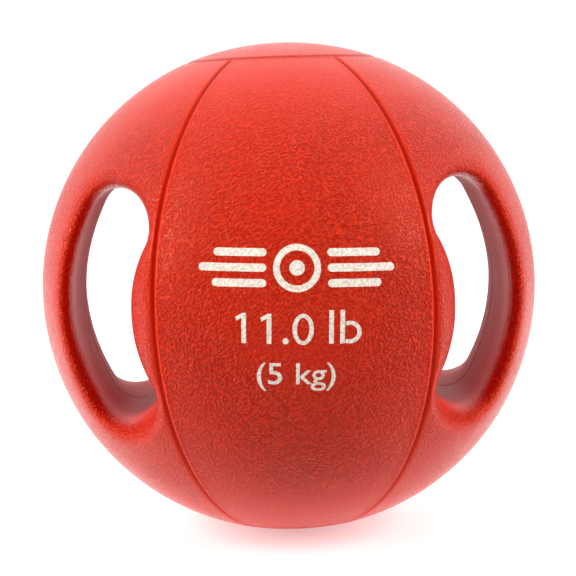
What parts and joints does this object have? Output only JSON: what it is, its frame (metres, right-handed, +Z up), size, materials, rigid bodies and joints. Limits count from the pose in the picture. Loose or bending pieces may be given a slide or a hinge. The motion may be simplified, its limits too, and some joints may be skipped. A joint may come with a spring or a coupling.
{
  "type": "dual-handle medicine ball",
  "caption": "Weighted rubber exercise ball with a hand opening through each side that leaves a built-in grip handle.",
  "frame": {"origin": "centre of the ball", "axes": "+Z up through the top cap, the handles on +X and -X, the printed front panel at -Y and the valve at +Y"},
  "size_m": [0.27, 0.2699, 0.2664],
  "materials": {
    "cover": "moulded red rubber with a fine raised grain",
    "carcass": "matt dark heavy rubber",
    "ply": "woven nylon cord fabric",
    "bladder": "smooth butyl rubber",
    "valve": "smooth black rubber",
    "ink": "matt off-white flexible printing ink over the grain"
  },
  "bodies": {
    "root": {"front_panel": "cover", "rear_panel": "cover", "top_cap": "cover", "bottom_cap": "cover", "left_front_side_panel": "cover", "left_rear_side_panel": "cover", "right_front_side_panel": "cover", "right_rear_side_panel": "cover", "front_carcass": "carcass", "rear_carcass": "carcass", "left_handle_core": "carcass", "right_handle_core": "carcass", "reinforcing_ply": "ply", "bladder": "bladder", "valve_housing": "valve", "valve_plug": "valve"}
  },
  "joints": []
}
